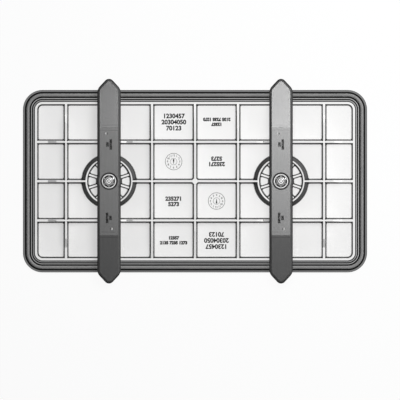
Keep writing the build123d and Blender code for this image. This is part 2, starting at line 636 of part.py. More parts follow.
with BuildPart() as hub_bush:
    with BuildSketch(Plane.XY.offset(SEAL_TOP)):
        Circle(HUB_BORE_RADIUS - SEAT_GAP)
    extrude(amount=BUSH_LENGTH)
    with BuildSketch(Plane.XY.offset(BUSH_SEAT)):
        Circle(BUSH_FLANGE_RADIUS)
    extrude(amount=BUSH_FLANGE)
    with BuildSketch(Plane.XY.offset(SEAL_TOP)):
        Circle(SLEEVE_RADIUS + RUNNING_GAP)
    extrude(amount=BUSH_LENGTH + BUSH_FLANGE, mode=Mode.SUBTRACT)

with BuildPart() as hub_seal:
    with BuildSketch(Plane.XZ):
        with Locations(((SLEEVE_RADIUS + HUB_BORE_RADIUS) / 2, HUB_BOTTOM + FACE_GAP + SEAL_SECTION / 2)):
            Circle(SEAL_SECTION / 2)
    revolve(axis=Axis.Z)

with BuildPart() as guide_plate:
    with BuildSketch(Plane.XY.offset(HUB_TOP)):
        Circle(PLATE_RADIUS)
    extrude(amount=PLATE_THICKNESS)
    with BuildSketch(Plane.XY.offset(HUB_TOP)):
        flatted_circle(STUD_RADIUS + SLIDING_GAP, STUD_FLATS + 2 * SLIDING_GAP)
    extrude(amount=PLATE_THICKNESS, mode=Mode.SUBTRACT)
    with Locations((0, 0, PLATE_TOP)):
        with PolarLocations(SCREW_CIRCLE_RADIUS, SCREW_COUNT, start_angle=SCREW_FIRST_ANGLE):
            CounterSinkHole(SCREW_RADIUS + SEAT_GAP, SCREW_HEAD_RADIUS + SEAT_GAP, PLATE_THICKNESS)

# Three countersunk screws in one node
with BuildPart() as guide_screws:
    with Locations((0, 0, PLATE_TOP)):
        with PolarLocations(SCREW_CIRCLE_RADIUS, SCREW_COUNT, start_angle=SCREW_FIRST_ANGLE):
            Cylinder(SCREW_RADIUS, SCREW_LENGTH, align=HANGING)
            Cone(
                SCREW_RADIUS,
                SCREW_HEAD_RADIUS,
                SCREW_HEAD_RADIUS - SCREW_RADIUS,
                align=HANGING,
            )
            Box(SCREW_SLOT_LENGTH, SCREW_SLOT_WIDTH, 2 * SCREW_SLOT_DEPTH, mode=Mode.SUBTRACT)
            Box(SCREW_SLOT_WIDTH, SCREW_SLOT_LENGTH, 2 * SCREW_SLOT_DEPTH, mode=Mode.SUBTRACT)

os.makedirs("parts", exist_ok=True)

# The lid and gasket stand at the origin, and both hubs carry the same clamp
for name, piece in (("lid", lid.part), ("gasket", gasket.part)):
    piece.label = name
    export_step(piece, f"parts/{name}.step")

clamp_pieces = {
    "clamp_bar": clamp_bar,
    "bar_bush": bar_bush,
    "flat_washer": flat_washer,
    "lock_nut": lock_nut,
    "lock_nut_insert": lock_nut_insert,
    "stud": stud,
    "finger_knob": finger_knob,
    "knob_cap": knob_cap,
    "knob_insert": knob_insert,
    "knob_washer": knob_washer,
    "knob_clip": knob_clip,
    "hub_bush": hub_bush,
    "hub_seal": hub_seal,
    "guide_plate": guide_plate,
    "guide_screws": guide_screws,
}
for side, hub_x in HUBS.items():
    for name, piece in clamp_pieces.items():
        placed = piece.part.moved(Location((hub_x, 0, 0)))
        placed.label = f"{side}_{name}"
        export_step(placed, f"parts/{side}_{name}.step")
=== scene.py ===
# %% [markdown]
# # A deck hatch, seen from inside the boat
# This is the lid of a deck hatch, lying on its outer face, so we look at the side that faces
# into the boat: a white ribbed tray with a grey rubber seal round its edge, and two clamp bars
# that a finger knob under each of them draws tight against the deck.
#
# The hard parts come from a CAD model that is already exact, so this lesson is about what CAD
# leaves out: the light, the finishes, the screw threads and the small marks. We load the CAD
# parts first. Nothing we add may make it bigger.

from math import cos, pi, radians, sin

import bpy
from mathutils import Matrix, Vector


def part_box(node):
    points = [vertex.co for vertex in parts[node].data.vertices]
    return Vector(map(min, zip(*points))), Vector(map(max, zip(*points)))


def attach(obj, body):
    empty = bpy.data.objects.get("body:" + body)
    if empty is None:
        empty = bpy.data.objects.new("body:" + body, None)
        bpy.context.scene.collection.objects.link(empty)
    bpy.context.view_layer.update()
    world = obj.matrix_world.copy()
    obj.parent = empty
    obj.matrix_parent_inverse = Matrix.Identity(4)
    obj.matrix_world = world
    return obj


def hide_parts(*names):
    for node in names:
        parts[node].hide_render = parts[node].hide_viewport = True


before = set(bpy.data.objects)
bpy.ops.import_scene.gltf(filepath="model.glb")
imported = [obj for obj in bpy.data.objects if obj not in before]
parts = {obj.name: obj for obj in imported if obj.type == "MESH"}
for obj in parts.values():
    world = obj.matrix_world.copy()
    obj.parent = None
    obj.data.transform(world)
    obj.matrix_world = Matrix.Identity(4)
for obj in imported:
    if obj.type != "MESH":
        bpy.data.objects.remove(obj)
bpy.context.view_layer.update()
print("CAD parts:", len(parts))

# %% [markdown]
# ## The camera
# The picture that we match looks straight down at the hatch, with no perspective at all: the
# hatch's two long edges are parallel and both bars stand upright. A camera of the ORTHO kind
# gives that. Its scale is the width of the view in metres, found by laying the hatch's known
# length over its length in the picture.

# %% The camera looks straight down
VIEW_WIDTH = 0.6976
CAMERA_PLACE = (0.0087, -0.0328, 1.2)

bpy.ops.object.select_all(action="DESELECT")
bpy.ops.object.camera_add(location=CAMERA_PLACE, rotation=(0, 0, 0))
camera = bpy.context.object
camera.name = "plan_view_camera"
camera.data.type = "ORTHO"
camera.data.ortho_scale = VIEW_WIDTH
bpy.context.scene.camera = camera
bpy.context.scene.view_settings.view_transform = "Standard"
print("camera at", CAMERA_PLACE, "seeing", VIEW_WIDTH, "m")

# %% [markdown]
# ## The light
# In the picture every slope that faces right or up is pale and every slope that faces left is
# nearly black, yet no rib throws a shadow on the tray. One lamp at the right that casts no
# shadows gives just that shading, and a small soft box over the upper right adds soft shadows.
#
# The right bar is also much paler than the left one, as satin plastic is where it mirrors a
# bright window. A third lamp stands for that window. It is hidden from diffuse light and it is
# linked to the two bars only, so it shows as their sheen and changes nothing else.

# %% Three soft lamps
SIDE_PLACE = Vector((3.10, 2.45, 3.15))
SIDE_WATTS = 248.0
SIDE_SIZE = 1.0
BOX_PLACE = Vector((0.26, 0.27, 1.30))
BOX_WATTS = 3.8
BOX_SIZE = 0.6
SHEEN_PLACE = Vector((0.30, 0.30, 1.30))
SHEEN_WATTS = 60.0
SHEEN_SIZE = 0.45
AIM = Vector((0.03, 0, 0))


def soft_lamp(name, place, watts, size, shadows):
    bpy.ops.object.light_add(type="AREA", location=place)
    lamp = bpy.context.object
    lamp.name = name
    lamp.data.energy = watts
    lamp.data.size = size
    lamp.data.use_shadow = shadows
    lamp.rotation_euler = (AIM - place).to_track_quat("-Z", "Y").to_euler()
    return lamp


soft_lamp("side_lamp", SIDE_PLACE, SIDE_WATTS, SIDE_SIZE, False)
soft_lamp("soft_box", BOX_PLACE, BOX_WATTS, BOX_SIZE, True)
sheen_lamp = soft_lamp("sheen_lamp", SHEEN_PLACE, SHEEN_WATTS, SHEEN_SIZE, True)
sheen_lamp.visible_diffuse = False
sheen_takers = bpy.data.collections.new("sheen_takers")
for side in ("left", "right"):
    sheen_takers.objects.link(parts[side + "_clamp_bar"])
sheen_lamp.light_linking.receiver_collection = sheen_takers
print("lamps in W:", SIDE_WATTS, "side,", BOX_WATTS, "soft box,", SHEEN_WATTS, "sheen only")

# %% [markdown]
# ## A small kit for materials
# Every finish here is procedural: it is worked out from the place of a point on the object, so
# it has no pixels to run out of and fits a part of any shape. These helpers add a shader node,
# join two sockets and hand back a socket, which keeps each finish down to a few lines.

# %% Helpers for shader nodes
def new_finish(name):
    material = bpy.data.materials.new(name)
    material.use_nodes = True
    return material.node_tree


def add_node(tree, kind, values=None, **settings):
    node = tree.nodes.new(kind)
    for setting, value in settings.items():
        setattr(node, setting, value)
    for socket, value in (values or {}).items():
        node.inputs[socket].default_value = value
    return node


def join(tree, output, socket):
    tree.links.new(output, socket)


def give(tree, value, socket):
    if isinstance(value, (int, float, tuple)):
        socket.default_value = value
    else:
        join(tree, value, socket)


def calculate(tree, operation, *values):
    node = add_node(tree, "ShaderNodeMath", operation=operation)
    for socket, value in zip(node.inputs, values):
        give(tree, value, socket)
    return node.outputs[0]


def both(tree, *masks):
    shared = masks[0]
    for mask in masks[1:]:
        shared = calculate(tree, "MULTIPLY", shared, mask)
    return shared


def fade(tree, value, start, end):
    node = add_node(tree, "ShaderNodeMapRange", {1: start, 2: end, 3: 0.0, 4: 1.0})
    join(tree, value, node.inputs[0])
    return node.outputs[0]


def blend_colours(tree, amount, first, second):
    node = add_node(tree, "ShaderNodeMix", data_type="RGBA")
    give(tree, amount, node.inputs[0])
    give(tree, first, node.inputs[6])
    give(tree, second, node.inputs[7])
    return node.outputs[2]


def mix_shaders(tree, amount, first, second):
    node = add_node(tree, "ShaderNodeMixShader")
    join(tree, amount, node.inputs[0])
    join(tree, first, node.inputs[1])
    join(tree, second, node.inputs[2])
    return node.outputs[0]


def grey(value, warmth=0.0):
    return (value * (1 + warmth), value, value * (1 - warmth), 1.0)


print("helpers ready")

# %% [markdown]
# ## The floor and the world
# The floor is plain white. Seen by the camera, or in a reflection, it is partly its own light,
# so it stays white to the edge of the picture and still takes the hatch's soft shadow. To light
# that bounces off it, it is an even white, because the side lamp casts no shadow and would
# otherwise light the floor right under the hatch. It is clear from below, so that the hatch's
# outer face can be looked at too.

# %% A white floor under a pale world
FLOOR_HALF = 4.0
FLOOR_HEIGHT = -0.0002
FLOOR_WHITE = grey(0.94)
PLAIN_WHITE = grey(1.0)
WORLD_GREY = (0.86, 0.88, 0.90, 1.0)
WORLD_STRENGTH = 0.15
OWN_LIGHT_SHARE = 0.85


def seen_rays(tree, path):
    seen = calculate(tree, "MAXIMUM", path.outputs["Is Camera Ray"], path.outputs["Is Glossy Ray"])
    return calculate(tree, "MAXIMUM", seen, path.outputs["Is Transmission Ray"])


bpy.ops.mesh.primitive_plane_add(size=2 * FLOOR_HALF, location=(0, 0, FLOOR_HEIGHT))
floor = bpy.context.object
floor.name = "floor"
tree = new_finish("floor_white")
tree.nodes.remove(tree.nodes["Principled BSDF"])
matte = add_node(tree, "ShaderNodeBsdfDiffuse", {"Color": FLOOR_WHITE})
glow = add_node(tree, "ShaderNodeEmission", {"Color": PLAIN_WHITE, "Strength": 1.0})
clear = add_node(tree, "ShaderNodeBsdfTransparent")
path = add_node(tree, "ShaderNodeLightPath")
side_seen = add_node(tree, "ShaderNodeNewGeometry")
own_light = calculate(tree, "MULTIPLY", seen_rays(tree, path), OWN_LIGHT_SHARE)
lit = mix_shaders(tree, own_light, matte.outputs[0], glow.outputs[0])
lit = mix_shaders(tree, path.outputs["Is Diffuse Ray"], lit, glow.outputs[0])
lit = mix_shaders(tree, side_seen.outputs["Backfacing"], lit, clear.outputs[0])
join(tree, lit, tree.nodes["Material Output"].inputs["Surface"])
floor.data.materials.append(bpy.data.materials["floor_white"])

world = bpy.data.worlds.new("pale_room")
bpy.context.scene.world = world
world.use_nodes = True
tree = world.node_tree
room = tree.nodes["Background"]
room.inputs["Color"].default_value = WORLD_GREY
room.inputs["Strength"].default_value = WORLD_STRENGTH
backdrop = add_node(tree, "ShaderNodeBackground", {"Color": PLAIN_WHITE, "Strength": 1.0})
path = add_node(tree, "ShaderNodeLightPath")
shown = mix_shaders(tree, seen_rays(tree, path), room.outputs[0], backdrop.outputs[0])
join(tree, shown, tree.nodes["World Output"].inputs["Surface"])
print("floor", 2 * FLOOR_HALF, "m wide, world strength", WORLD_STRENGTH)

# %% [markdown]
# ## Effects that several finishes share
# Moulded plastic and rubber both carry a fine grain from the mould and a faint cloudiness from
# the way the melt flowed, and turned metal carries rings round its axis. Each effect is a node
# group: it is wired once, it has named inputs, and each finish sets its own values.

# %% Node group: moulded grain
FLOAT = "NodeSocketFloat"
VECTOR = "NodeSocketVector"
CLOUD_SPREAD = (0.3, 0.7)


def new_group(name, inputs, outputs):
    group = bpy.data.node_groups.new(name, "ShaderNodeTree")
    group.interface.new_socket(name="Vector", in_out="INPUT", socket_type=VECTOR)
    for socket, value in inputs.items():
        made = group.interface.new_socket(name=socket, in_out="INPUT", socket_type=FLOAT)
        made.default_value = value
    for socket in outputs:
        group.interface.new_socket(name=socket, in_out="OUTPUT", socket_type=FLOAT)
    given = group.nodes.new("NodeGroupInput").outputs
    result = group.nodes.new("NodeGroupOutput").inputs
    return group, given, result


grain_group, given, result = new_group(
    "moulded_grain", {"Grain Scale": 900.0, "Cloud Scale": 14.0}, ["Height", "Cloud"]
)
fine = add_node(grain_group, "ShaderNodeTexNoise", {"Detail": 2.0, "Roughness": 0.55})
cloud = add_node(grain_group, "ShaderNodeTexNoise", {"Detail": 3.0, "Roughness": 0.5})
join(grain_group, given["Vector"], fine.inputs["Vector"])
join(grain_group, given["Grain Scale"], fine.inputs["Scale"])
join(grain_group, given["Vector"], cloud.inputs["Vector"])
join(grain_group, given["Cloud Scale"], cloud.inputs["Scale"])
join(grain_group, fine.outputs["Fac"], result["Height"])
join(grain_group, fade(grain_group, cloud.outputs["Fac"], *CLOUD_SPREAD), result["Cloud"])
print("group:", grain_group.name)

# %% [markdown]
# The rings run round the nearer hub. Folding the plan at the middle lays both hubs on one place,
# and the noise is read along the distance from it. A share of the height is read too, so the
# rings on one face differ from those on the next.

# %% Node group: lathe rings round the nearer hub
HUB_X = 0.15
RING_LIFT = 0.6
TONE_SPREAD = (0.35, 0.65)

ring_group, given, result = new_group(
    "lathe_rings", {"Rings per Metre": 2500.0}, ["Height", "Tone", "Radius"]
)
split = add_node(ring_group, "ShaderNodeSeparateXYZ")
join(ring_group, given["Vector"], split.inputs[0])
from_middle = calculate(ring_group, "ABSOLUTE", split.outputs[0])
from_hub = calculate(ring_group, "SUBTRACT", from_middle, HUB_X)
squares = calculate(ring_group, "POWER", split.outputs[1], 2.0)
squares = calculate(ring_group, "MULTIPLY_ADD", from_hub, from_hub, squares)
radius = calculate(ring_group, "SQRT", squares)
along = add_node(ring_group, "ShaderNodeCombineXYZ")
join(ring_group, radius, along.inputs[0])
join(ring_group, calculate(ring_group, "MULTIPLY", split.outputs[2], RING_LIFT), along.inputs[1])
rings = add_node(ring_group, "ShaderNodeTexNoise", {"Detail": 2.0, "Roughness": 0.7})
join(ring_group, along.outputs[0], rings.inputs["Vector"])
join(ring_group, given["Rings per Metre"], rings.inputs["Scale"])
join(ring_group, rings.outputs["Fac"], result["Height"])
join(ring_group, fade(ring_group, rings.outputs["Fac"], *TONE_SPREAD), result["Tone"])
join(ring_group, radius, result["Radius"])
print("group:", ring_group.name)

# %% [markdown]
# The seal and the tray follow one outline, a rectangle with round corners. How far a point lies
# inside that outline is a sum of a few steps: fold the plan into one quarter, measure past the
# corner's centre, and take the corner's radius away. With that distance a finish can follow the
# edge all the way round, as the real seal's grooves do.

# %% Node group: distance inside the lid's outline
LID_HALF_X = 0.300
LID_HALF_Y = 0.159
LID_CORNER = 0.034

inset_group, given, result = new_group(
    "inside_the_outline",
    {"Half X": LID_HALF_X, "Half Y": LID_HALF_Y, "Corner": LID_CORNER},
    ["Inset"],
)
split = add_node(inset_group, "ShaderNodeSeparateXYZ")
join(inset_group, given["Vector"], split.inputs[0])
past = []
for axis, half in ((0, "Half X"), (1, "Half Y")):
    centre = calculate(inset_group, "SUBTRACT", given[half], given["Corner"])
    folded = calculate(inset_group, "ABSOLUTE", split.outputs[axis])
    past.append(calculate(inset_group, "SUBTRACT", folded, centre))
outside = [calculate(inset_group, "MAXIMUM", value, 0.0) for value in past]
squares = calculate(inset_group, "MULTIPLY", outside[0], outside[0])
squares = calculate(inset_group, "MULTIPLY_ADD", outside[1], outside[1], squares)
inside = calculate(inset_group, "MINIMUM", calculate(inset_group, "MAXIMUM", *past), 0.0)
reach = calculate(inset_group, "ADD", calculate(inset_group, "SQRT", squares), inside)
join(inset_group, calculate(inset_group, "SUBTRACT", given["Corner"], reach), result["Inset"])
print("group:", inset_group.name)

# %% [markdown]
# ## Masks
# A mask is a number from 0 to 1 that says where a finish changes. These are the kinds used
# here: how closed in a corner is, how flat a face lies, how near an edge is, and a stripe
# between two distances. A corner line is painted shade, set by three numbers: how far the node
# looks, in metres, and how open a point is where the line is darkest and where it ends.

# %% Helpers that place a group and make masks
EDGE_BLUR = 0.00025
OCCLUSION_SAMPLES = 16
BEVEL_SAMPLES = 16


def place_group(tree, group, **values):
    node = add_node(tree, "ShaderNodeGroup", node_tree=group)
    place = add_node(tree, "ShaderNodeTexCoord")
    join(tree, place.outputs["Object"], node.inputs["Vector"])
    for socket, value in values.items():
        node.inputs[socket.replace("_", " ")].default_value = value
    return node.outputs


def place_axes(tree):
    place = add_node(tree, "ShaderNodeTexCoord")
    split = add_node(tree, "ShaderNodeSeparateXYZ")
    join(tree, place.outputs["Object"], split.inputs[0])
    return split.outputs


def upward_part(tree, surface):
    tilt = add_node(tree, "ShaderNodeSeparateXYZ")
    join(tree, surface.outputs["Normal"], tilt.inputs[0])
    return tilt.outputs[2]


def facing_up(tree):
    return upward_part(tree, add_node(tree, "ShaderNodeNewGeometry"))


def facing_up_if_rounded(tree, reach):
    rounded = add_node(tree, "ShaderNodeBevel", {"Radius": reach}, samples=BEVEL_SAMPLES)
    return upward_part(tree, rounded)


# An ambient occlusion mask of closed-in corners, where the finishes paint shade.
def corner_mask(tree, reach, darkest, clear, own_shape=True):
    closed_in = add_node(
        tree,
        "ShaderNodeAmbientOcclusion",
        {"Distance": reach},
        samples=OCCLUSION_SAMPLES,
        only_local=own_shape,
    )
    return fade(tree, closed_in.outputs["AO"], clear, darkest)


def stripe(tree, distance, start, end):
    rising = fade(tree, distance, start - EDGE_BLUR, start + EDGE_BLUR)
    falling = fade(tree, distance, end + EDGE_BLUR, end - EDGE_BLUR)
    return both(tree, rising, falling)


def raised_detail(tree, height, distance):
    bump = add_node(tree, "ShaderNodeBump", {"Strength": 1.0, "Distance": distance})
    join(tree, height, bump.inputs["Height"])
    join(tree, bump.outputs["Normal"], tree.nodes["Principled BSDF"].inputs["Normal"])


def plain_values(tree, **values):
    sockets = tree.nodes["Principled BSDF"].inputs
    for socket, value in values.items():
        sockets[socket.replace("_", " ")].default_value = value
    return sockets


print("mask and bump helpers ready")

# %% [markdown]
# ## White lid plastic
# The lid is moulded in white plastic. In the picture every rib stands in thin dark lines, where
# its foot meets the flat skin, and its drafted sides are greyer than its top. Both are painted
# shade here. An ambient occlusion node with a short reach paints the shade line in the corners.
# The sides are found by their tilt and painted greyer towards their foot, and the two hubs' cone
# walls get the darkest painted shade. Two more lines of painted shade are laid by distance, one
# along the foot of the rim and one round the top of each hub. The outer face, which a foot treads
# on, has a raised pad with a non-skid pattern: small pyramids that only show on that pad.

# %% The lid's finish
LID_WHITE = grey(0.89, 0.004)
LID_CLOUD = grey(0.86, 0.006)
# Painted shade: greys for the rib walls, the cone walls and the corner lines.
RIB_WALL_SHADE = grey(0.30)
CONE_WALL_SHADE = grey(0.07)
CORNER_SHADE_GREY = grey(0.012)
LID_ROUGHNESS = 0.48
MORE_ON_WALLS = 0.47
STEEP_FROM = 0.7
STEEP_AT = 0.4
SKIN_LEVEL = 0.0035
FOOT_LEVEL = 0.0060
WALL_CLEAR_AT = 0.030
WALL_SHADE_FULL_AT = 0.012
TRAY_INSET = 0.0235
RIM_FOOT_SHADE_SPAN = (0.0246, 0.0271)
CONE_SPAN = (0.0400, 0.0490)
HUB_RING_SHADE_SPAN = (0.0366, 0.0382)
HUB_RING_LEVEL = 0.020
LID_CORNER_SHADE = (0.0036, 0.76, 0.88)
PAD_LEVEL = 0.0003
PYRAMIDS_PER_METRE = 330.0
HALF_PYRAMID = 0.5
PAD_RELIEF = 0.0007
GRAIN_ON_LID = 0.05

tree = new_finish("white_lid_plastic")
grain = place_group(tree, grain_group, Grain_Scale=700.0, Cloud_Scale=9.0)
shader = plain_values(tree, Specular_IOR_Level=0.2)
x_along, y_along, height = place_axes(tree)
inset = place_group(tree, inset_group)["Inset"]
steep = fade(tree, calculate(tree, "ABSOLUTE", facing_up(tree)), STEEP_FROM, STEEP_AT)
wall = both(tree, steep, calculate(tree, "GREATER_THAN", height, SKIN_LEVEL))
in_tray = calculate(tree, "GREATER_THAN", inset, TRAY_INSET)
# Painted shade on the drafted walls, darkest on the hubs' cone walls.
low_wall_shade = both(tree, wall, in_tray, fade(tree, height, WALL_CLEAR_AT, WALL_SHADE_FULL_AT))
from_hub = place_group(tree, ring_group)["Radius"]
cone_wall_shade = both(tree, wall, stripe(tree, from_hub, *CONE_SPAN))
near_skin = calculate(tree, "LESS_THAN", height, FOOT_LEVEL)
foot = both(tree, stripe(tree, inset, *RIM_FOOT_SHADE_SPAN), near_skin)
near_ring_top = calculate(tree, "GREATER_THAN", height, HUB_RING_LEVEL)
hub_ring_shade = both(tree, stripe(tree, from_hub, *HUB_RING_SHADE_SPAN), near_ring_top)
# Painted shade lines: in corners, along the rim's foot and round each hub's top.
lines = calculate(tree, "MAXIMUM", corner_mask(tree, *LID_CORNER_SHADE), foot)
lines = calculate(tree, "MAXIMUM", lines, hub_ring_shade)
tone = blend_colours(tree, grain["Cloud"], LID_WHITE, LID_CLOUD)
tone = blend_colours(tree, low_wall_shade, tone, RIB_WALL_SHADE)
tone = blend_colours(tree, cone_wall_shade, tone, CONE_WALL_SHADE)
tone = blend_colours(tree, lines, tone, CORNER_SHADE_GREY)
join(tree, tone, shader["Base Color"])
matt = calculate(tree, "MAXIMUM", low_wall_shade, cone_wall_shade)
matt = calculate(tree, "MULTIPLY_ADD", matt, MORE_ON_WALLS, LID_ROUGHNESS)
join(tree, matt, shader["Roughness"])
teeth = []
for turned in ("ADD", "SUBTRACT"):
    diagonal = calculate(tree, turned, x_along, y_along)
    diagonal = calculate(tree, "MULTIPLY", diagonal, PYRAMIDS_PER_METRE)
    folded = calculate(tree, "PINGPONG", diagonal, HALF_PYRAMID)
    teeth.append(calculate(tree, "MULTIPLY", folded, 1 / HALF_PYRAMID))
pyramid = calculate(tree, "MINIMUM", *teeth)
pyramid = both(tree, pyramid, calculate(tree, "LESS_THAN", height, PAD_LEVEL))
relief = calculate(tree, "MULTIPLY_ADD", grain["Height"], GRAIN_ON_LID, pyramid)
raised_detail(tree, relief, PAD_RELIEF)
print("white_lid_plastic has", len(tree.nodes), "nodes")

# %% [markdown]
# ## Grey rubber for the gasket
# The seal is one extruded rubber section. Rubber is nearly matt, with a weak broad sheen, and
# its tone here is not even: bands of other greys run round it, and its grooves and corners are
# painted near black as shade. Each band below is where it starts, where it ends and its grey,
# measured inward from the outer edge. The second lies over the first, as a thin dark line of
# painted shade at the very edge, and the last is a near-black band of painted shade.

# %% The gasket's finish
# The second band is a thin dark line of painted shade, the last a near-black band of painted
# shade.
SEAL_BANDS = (
    (-0.0010, 0.0034, 0.20),
    (-0.0010, 0.0009, 0.06),
    (0.0142, 0.0154, 0.45),
    (0.0176, 0.0192, 0.32),
    (0.0192, 0.0215, 0.02),
)
SEAL_GROOVES = ((0.0032, 0.0062), (0.0114, 0.0142), (0.0154, 0.0176))
SEAL_DARK = grey(0.215)
SEAL_LIGHT = grey(0.245, 0.01)
# Painted shade: near black in the grooves and closed-in corners.
GROOVE_SHADE_GREY = grey(0.004)
SEAL_CORNER_SHADE = (0.003, 0.45, 0.80)
SEAL_ROUGHNESS = 0.55
MORE_IN_GROOVES = 0.4
SEAL_GRAIN_DEPTH = 0.00006

tree = new_finish("grey_seal_rubber")
grain = place_group(tree, grain_group, Grain_Scale=2200.0, Cloud_Scale=22.0)
inset = place_group(tree, inset_group)["Inset"]
shader = plain_values(tree, Specular_IOR_Level=0.15)
tone = blend_colours(tree, grain["Cloud"], SEAL_DARK, SEAL_LIGHT)
for start, end, level in SEAL_BANDS:
    tone = blend_colours(tree, stripe(tree, inset, start, end), tone, grey(level))
# Painted shade in the grooves and corners.
groove_shade = corner_mask(tree, *SEAL_CORNER_SHADE)
for start, end in SEAL_GROOVES:
    groove_shade = calculate(tree, "MAXIMUM", groove_shade, stripe(tree, inset, start, end))
join(tree, blend_colours(tree, groove_shade, tone, GROOVE_SHADE_GREY), shader["Base Color"])
matt = calculate(tree, "MULTIPLY_ADD", groove_shade, MORE_IN_GROOVES, SEAL_ROUGHNESS)
join(tree, matt, shader["Roughness"])
raised_detail(tree, grain["Height"], SEAL_GRAIN_DEPTH)
print("grey_seal_rubber has", len(tree.nodes), "nodes")

# %% [markdown]
# ## Grey plastic for the bars and knobs
# Bars and knobs are moulded in a glass-filled nylon, which comes out of the mould satin, with a
# fine sparkle of fibres and faint streaks along the way the melt ran. Stretching the noise along
# the bar gives the streaks. The bars' sloped edges are painted a little paler than their tops, as
# painted light. A black line of painted shade runs round their outer edge, two dark lines of
# painted shade cross each bend, and a ring of painted shade lies round the nut's recess. The edge
# is found with a Bevel node, which gives the surface's direction as it would be if the edge were
# rounded. The knobs are the same stuff with a finer skin, and both get painted shade in folds.

# %% The bars' and the knobs' finishes
STREAKS_PER_METRE = 260.0
STREAK_SHARE = 0.5
CLOUD_SHARE = 0.5
PLASTIC_GRAIN_DEPTH = 0.00009
# Painted shade in the folds and corners.
PLASTIC_FOLD_SHADE = (0.004, 0.45, 0.75)
FOLD_SHADE_GREY = grey(0.02)
BAR_DARK = grey(0.028)
BAR_LIGHT = grey(0.037)
BAR_ROUGHNESS = 0.38
KNOB_DARK = grey(0.12)
KNOB_LIGHT = grey(0.145)
# Painted shade across the bends, along the outer edge and round the recess.
BENDS = (0.0887, 0.0978)
BEND_HALF_LINE = 0.0008
BEND_STRENGTH = 0.95
BEND_SHADE_GREY = grey(0.01)
# Painted light: the sloped edges are paler than the tops.
SLOPE_FROM = 0.97
SLOPE_AT = 0.90
SLOPE_PAINTED_LIGHT = grey(0.05)
OUTLINE_REACH = 0.0060
OUTLINE_FROM = 0.692
OUTLINE_AT = 0.662
OUTLINE_SHADE_GREY = grey(0.002)
RECESS_RING = (0.0132, 0.0153)
RECESS_SHADE_GREY = grey(0.002)
MORE_ON_SLOPES = 0.4


def filled_plastic(name, dark, light, roughness, gloss, streak):
    tree = new_finish(name)
    grain = place_group(tree, grain_group, Grain_Scale=1500.0, Cloud_Scale=18.0)
    plain_values(tree, Roughness=roughness, Specular_IOR_Level=gloss)
    scale = (STREAKS_PER_METRE, STREAKS_PER_METRE / streak, STREAKS_PER_METRE)
    place = add_node(tree, "ShaderNodeTexCoord")
    stretch = add_node(tree, "ShaderNodeMapping", {"Scale": scale})
    flow = add_node(tree, "ShaderNodeTexNoise", {"Scale": 1.0, "Detail": 3.0})
    join(tree, place.outputs["Object"], stretch.inputs["Vector"])
    join(tree, stretch.outputs[0], flow.inputs["Vector"])
    streaks = fade(tree, flow.outputs["Fac"], *TONE_SPREAD)
    clouds = calculate(tree, "MULTIPLY", grain["Cloud"], CLOUD_SHARE)
    mottled = calculate(tree, "MULTIPLY_ADD", streaks, STREAK_SHARE, clouds)
    raised_detail(tree, grain["Height"], PLASTIC_GRAIN_DEPTH)
    return tree, blend_colours(tree, mottled, dark, light)


# Paints shade into the corners and folds.
def darken_folds(tree, tone):
    fold_shade = corner_mask(tree, *PLASTIC_FOLD_SHADE)
    shaded = blend_colours(tree, fold_shade, tone, FOLD_SHADE_GREY)
    join(tree, shaded, tree.nodes["Principled BSDF"].inputs["Base Color"])


tree, tone = filled_plastic(
    "grey_bar_plastic", BAR_DARK, BAR_LIGHT, roughness=BAR_ROUGHNESS, gloss=0.26, streak=12.0
)
from_middle = calculate(tree, "ABSOLUTE", place_axes(tree)[1])
# Painted shade: two dark lines across each bend.
for bend in BENDS:
    line = stripe(tree, from_middle, bend - BEND_HALF_LINE, bend + BEND_HALF_LINE)
    line = calculate(tree, "MULTIPLY", line, BEND_STRENGTH)
    tone = blend_colours(tree, line, tone, BEND_SHADE_GREY)
# Painted light on the sloped edges.
sloped = fade(tree, calculate(tree, "ABSOLUTE", facing_up(tree)), SLOPE_FROM, SLOPE_AT)
leaning = calculate(tree, "ABSOLUTE", facing_up_if_rounded(tree, OUTLINE_REACH))
outline = fade(tree, leaning, OUTLINE_FROM, OUTLINE_AT)
# Painted shade along the outer edge and round the nut's recess.
recess = stripe(tree, place_group(tree, ring_group)["Radius"], *RECESS_RING)
tone = blend_colours(tree, sloped, tone, SLOPE_PAINTED_LIGHT)
tone = blend_colours(tree, outline, tone, OUTLINE_SHADE_GREY)
tone = blend_colours(tree, recess, tone, RECESS_SHADE_GREY)
darken_folds(tree, tone)
matt = calculate(tree, "MAXIMUM", sloped, recess)
matt = calculate(tree, "MULTIPLY_ADD", matt, MORE_ON_SLOPES, BAR_ROUGHNESS)
join(tree, matt, tree.nodes["Principled BSDF"].inputs["Roughness"])
tree, tone = filled_plastic(
    "grey_knob_plastic", KNOB_DARK, KNOB_LIGHT, roughness=0.36, gloss=0.55, streak=1.0
)
darken_folds(tree, tone)
print("two filled plastics made")

# %% [markdown]
# ## White cap, natural bearings, dark locking ring, black seal
# The small plastic pieces need less: a tone, a little cloudiness, the right gloss, and painted
# shade in their corners. Natural nylon and acetal are a warm cream. The locking ring, the hubs'
# seals and the print are nearly black.

# %% Finishes of the small plastic pieces
CAP_DARK = grey(0.80, 0.004)
CAP_LIGHT = grey(0.85, 0.004)
CREAM_DARK = (0.74, 0.72, 0.64, 1.0)
CREAM_LIGHT = (0.80, 0.78, 0.70, 1.0)
NYLON_DARK = grey(0.012)
NYLON_LIGHT = grey(0.020)
RUBBER_DARK = grey(0.018)
RUBBER_LIGHT = grey(0.028)
INK_DARK = grey(0.004)
INK_LIGHT = grey(0.010)
SMALL_FOLD_SHADE = (0.002, 0.40, 0.75)
SMALL_GRAIN_DEPTH = 0.00003


